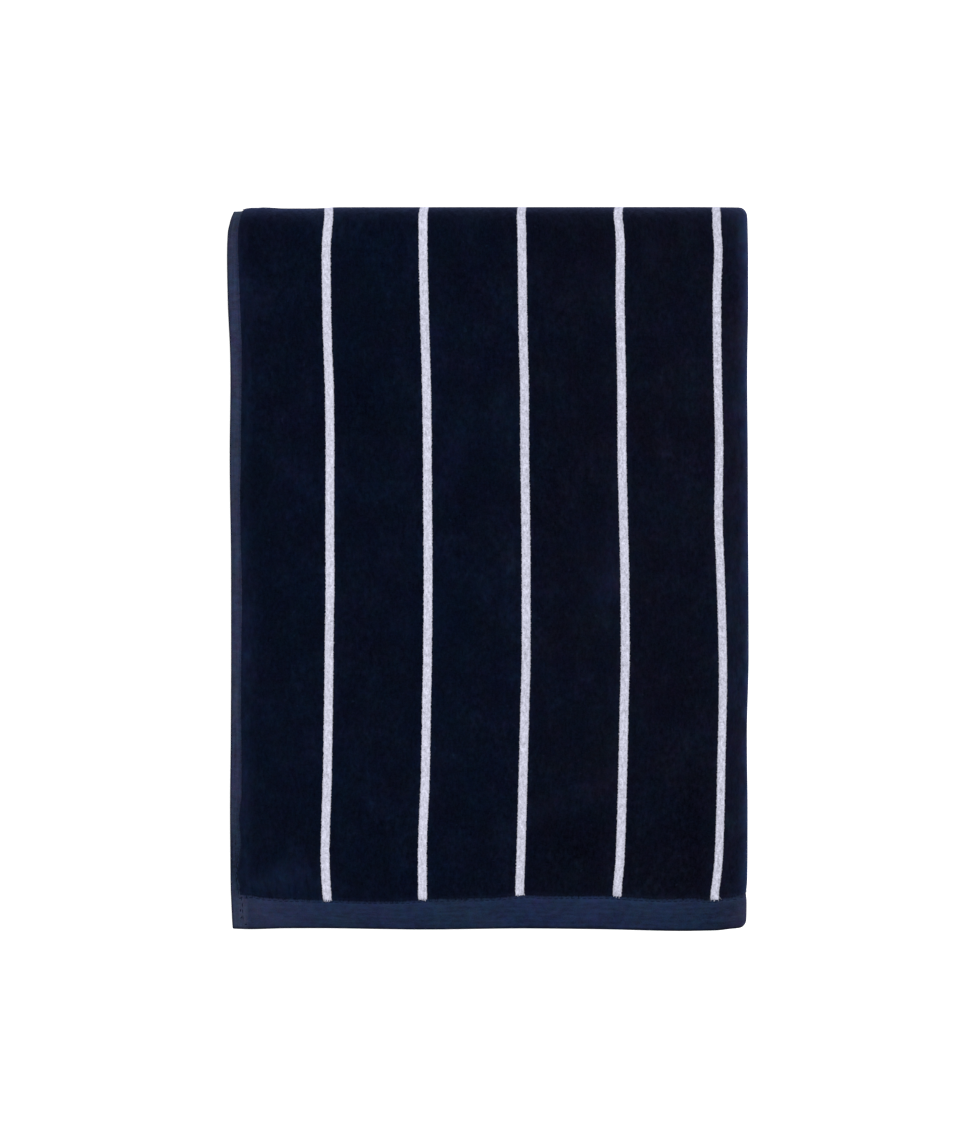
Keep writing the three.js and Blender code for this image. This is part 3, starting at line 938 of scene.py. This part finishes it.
# Where the pile ends beside a hem, its last tufts have nothing to lean on and fall out over the hem
# in a ragged line. They are cut cotton like the rest, and white at the end of each stripe.
tuft_length = 1.3 * mm
tuft_root = 0.26 * mm
tuft_tip = 0.1 * mm
tuft_pitch = 0.62 * mm
tuft_sides = 5
tuft_knee = 0.55  # where it bends, as a share of its length
tuft_lean = 0.9  # how far it leans for its height
tuft_splay = 0.3  # how far it leans to one side or the other
tuft_rise = (0.35, 0.6)  # how high it stands for its length
tuft_depth = 0.45 * mm  # its root is this deep in the pile
tuft_scatter = 0.16 * mm
tuft_insets = (0.1 * mm, 0.75 * mm)  # the two rows lie this far in from the hem
shortest_tuft = 0.55
longest_tufts = {"side": 1.15, "end": 1.55}
corner_cut = 2 * mm  # the rows stop short of the corner by this much
round_fold = 0.6  # the rows along the end hem go this far round the right-hand fold
lowest = 0.05 * mm  # no tuft or stitch goes down to the floor


def on_face(across, along):
    """Places on the face, each with its directions across, along and out of the cloth."""
    step = 0.1 * mm
    middle = folded(across, along, 1) + to_frame
    east = folded(across + step, along, 1) - folded(across - step, along, 1)
    north = folded(across, along + step, 1) - folded(across, along - step, 1)
    out = np.cross(east, north)
    out /= np.linalg.norm(out, axis=-1, keepdims=True)
    east /= np.linalg.norm(east, axis=-1, keepdims=True)
    return middle, np.stack([east, np.cross(out, east), out], -1)


def take_shape():
    """The points and the triangles of the mesh just modelled, which is then removed."""
    bpy.ops.object.mode_set(mode="EDIT")
    bpy.ops.mesh.select_all(action="SELECT")
    bpy.ops.mesh.quads_convert_to_tris()
    bpy.ops.object.mode_set(mode="OBJECT")
    model = bpy.context.object
    corners = np.array([vertex.co for vertex in model.data.vertices])
    triangles = np.array([polygon.vertices for polygon in model.data.polygons])
    bpy.data.objects.remove(model)
    return corners, triangles


def joined_copies(name, shape, middles, axes, flat_roots, material):
    """One mesh of copies of a shape, or of shapes of their own with the same faces. Each keeps the
    place of its root on the flat cloth."""
    corners, triangles = shape
    copies = len(middles)
    if corners.ndim == 2:
        corners = np.broadcast_to(corners, (copies, len(corners), 3))
    points = middles[:, None] + np.einsum("nij,npj->npi", axes, corners)
    points[..., 2] = np.maximum(points[..., 2], lowest)
    per_copy = points.shape[1]
    faces = triangles[None] + np.arange(copies)[:, None, None] * per_copy
    mesh = bpy.data.meshes.new(name)
    mesh.from_pydata(points.reshape(-1, 3).tolist(), [], faces.reshape(-1, 3).tolist())
    uv_map = mesh.uv_layers.new(name="flat_cloth")
    places = np.repeat(flat_roots, triangles.size, axis=0)
    uv_map.data.foreach_set("uv", places.astype(np.float32).ravel())
    mesh.materials.append(material)
    mesh.shade_smooth()
    piece = bpy.data.objects.new(name, mesh)
    scene.collection.objects.link(piece)
    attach(piece, "root")
    return piece


bpy.ops.object.select_all(action="DESELECT")
bpy.ops.mesh.primitive_cone_add(vertices=tuft_sides, radius1=tuft_root, radius2=tuft_tip,
                                depth=tuft_length, location=(0, 0, tuft_length / 2))
bpy.ops.object.transform_apply(location=True)
bpy.ops.object.mode_set(mode="EDIT")
bpy.ops.mesh.select_all(action="SELECT")
bpy.ops.mesh.bisect(plane_co=(0, 0, tuft_knee * tuft_length), plane_no=(0, 0, 1))
bpy.ops.object.mode_set(mode="OBJECT")
tuft = take_shape()

# A row gives its places across and along the cloth, the way its tufts lean, and their longest.
draw = np.random.default_rng(17)
face_end = way[2]["begins"] + way[2]["length"]
end_row_stops = top_width + right_arc * round_fold
tuft_rows = []
for inset in tuft_insets:
    along_seam = np.arange(end_hem + corner_cut, face_end, tuft_pitch)
    across_seam = np.arange(side_hem + corner_cut, end_row_stops, tuft_pitch)
    in_side = np.full(along_seam.shape, side_hem + inset)
    in_end = np.full(across_seam.shape, end_hem + inset)
    tuft_rows.append((in_side, along_seam, -1, 0, longest_tufts["side"]))
    tuft_rows.append((across_seam, in_end, 0, -1, longest_tufts["end"]))
tuft_across, tuft_along, lean_across, lean_along, longest = (
    np.concatenate([np.broadcast_to(value, row[0].shape) for value, row in zip(values, tuft_rows)])
    for values in zip(*tuft_rows))
count = len(tuft_across)
tuft_across = tuft_across + draw.normal(0, tuft_scatter, count)
tuft_along = tuft_along + draw.normal(0, tuft_scatter, count)
roots, tuft_axes = on_face(tuft_across, tuft_along)

# Each tuft is bent over towards the hem, more at its tip, and a little to one side.
height = tuft[0][None, :, 2] * draw.uniform(shortest_tuft, longest)[:, None]
bend = height ** 1.5 / math.sqrt(tuft_length) * tuft_lean
spread = draw.normal(0, tuft_splay, (count, 1)) * height
shaped = np.stack([
    tuft[0][None, :, 0] + lean_across[:, None] * bend - lean_along[:, None] * spread,
    tuft[0][None, :, 1] + lean_along[:, None] * bend - lean_across[:, None] * spread,
    height * draw.uniform(*tuft_rise, count)[:, None] - tuft_depth,
], -1)
flat_roots = np.stack([tuft_across, tuft_along], -1)
bent_tufts = (shaped, tuft[1])
pile_edge = joined_copies("pile_edge", bent_tufts, roots, tuft_axes, flat_roots, velour_material)


# The hems are turned over and lockstitched with one thread, navy like the cloth, that sinks into
# the weave at each stitch. At the corner both rows cross, and a few tacks hold the thick fold down.
stitch_pitch = 3.2 * mm
stitch_length = 2.5 * mm
thread_width = 0.45 * mm
thread_height = 0.3 * mm
stitch_sides = 6
stitch_rings = 5
stitch_scatter = 0.06 * mm
stitch_skew = 2  # degrees
navy_thread_ends = end_hem + 8 * mm  # past the corner the thread looks paler
side_row_begins = 6 * mm
side_row_ends = 4 * mm  # before the last fold
end_row_begins = side_stitch + 3 * mm
thread_navy = (0.0054, 0.0092, 0.0260, 1)
thread_slate = (0.0155, 0.0275, 0.0760, 1)
tack_bulk = 1.5  # several turns of thread
# The tacks at the corner, in mm: distance from the side edge, from the end edge, length, heading.
corner_tacks = [
    (4.8, 21.2, 2.2, 75), (5.9, 20.2, 2.0, 140), (7.0, 19.0, 2.6, 130), (8.2, 18.6, 1.8, 20),
    (5.4, 16.0, 2.2, 20), (9.4, 16.3, 2.4, 100), (4.3, 9.6, 1.7, 80), (4.6, 6.0, 1.6, 60),
    (6.9, 2.6, 1.6, 10),
]


def thread():
    material, shade = new_material("sewing_thread")
    place = flat_place(shade)
    along = shade.node("SeparateXYZ", {}, {"Vector": place}, output=1)
    solid_place = shade.node("TexCoord", {}, {}, output="Object")
    plies = solid_place.stretched((1, 1, 1), 0.6).noise(2600, 1, 0.5)
    level = 0.75 + plies * 0.5
    by_corner = 1 - along.between(end_hem, navy_thread_ends)
    colour = level.dim(by_corner.mix(thread_slate, thread_navy))
    normal = shade.node("Bump", {}, {"Height": plies, "Strength": 0.4, "Distance": 0.1 * mm})
    surface = shade.node("BsdfPrincipled", {}, {
        "Base Color": colour,
        "Roughness": 0.8,
        "Specular IOR Level": 0.02,
        "Normal": normal,
    })
    shade.node("OutputMaterial", {}, {"Surface": surface})
    return material


thread_material = thread()
bpy.ops.mesh.primitive_uv_sphere_add(segments=stitch_sides, ring_count=stitch_rings, radius=0.5)
bpy.ops.object.mode_set(mode="EDIT")
bpy.ops.mesh.select_all(action="SELECT")
bpy.ops.transform.rotate(value=math.pi / 2, orient_axis="Y", center_override=(0, 0, 0))
bpy.ops.transform.resize(value=(stitch_length, thread_width, thread_height))
bpy.ops.object.mode_set(mode="OBJECT")
stitch = take_shape()


def stitches(name, across, along, headings, lengths, bulk=1):
    """Stitches at places on the face. A heading of 0 runs across the cloth."""
    middles, axes = on_face(across, along)
    turn = np.radians(headings)[:, None]
    east = axes[..., 0] * np.cos(turn) + axes[..., 1] * np.sin(turn)
    north = axes[..., 1] * np.cos(turn) - axes[..., 0] * np.sin(turn)
    axes = np.stack([east * lengths[:, None], north * bulk, axes[..., 2] * bulk], -1)
    flat_roots = np.stack([across, along], -1)
    return joined_copies(name, stitch, middles, axes, flat_roots, thread_material)


side_along = np.arange(side_row_begins, face_end - side_row_ends, stitch_pitch)
side_across = side_stitch + draw.normal(0, stitch_scatter, side_along.shape)
end_across = np.arange(end_row_begins, end_row_stops, stitch_pitch)
end_along = end_stitch + draw.normal(0, stitch_scatter, end_across.shape)
side_heading = 90 + draw.normal(0, stitch_skew, side_along.shape)
side_stitches = stitches("side_hem_stitches", side_across, side_along, side_heading,
                         np.ones(side_along.shape))
end_heading = draw.normal(0, stitch_skew, end_across.shape)
end_stitches = stitches("end_hem_stitches", end_across, end_along, end_heading,
                        np.ones(end_across.shape))
tack_across, tack_along, tack_length, tack_heading = np.array(corner_tacks).T
tacks = stitches("corner_tacks", tack_across * mm, tack_along * mm, tack_heading,
                 tack_length * mm / stitch_length, tack_bulk)
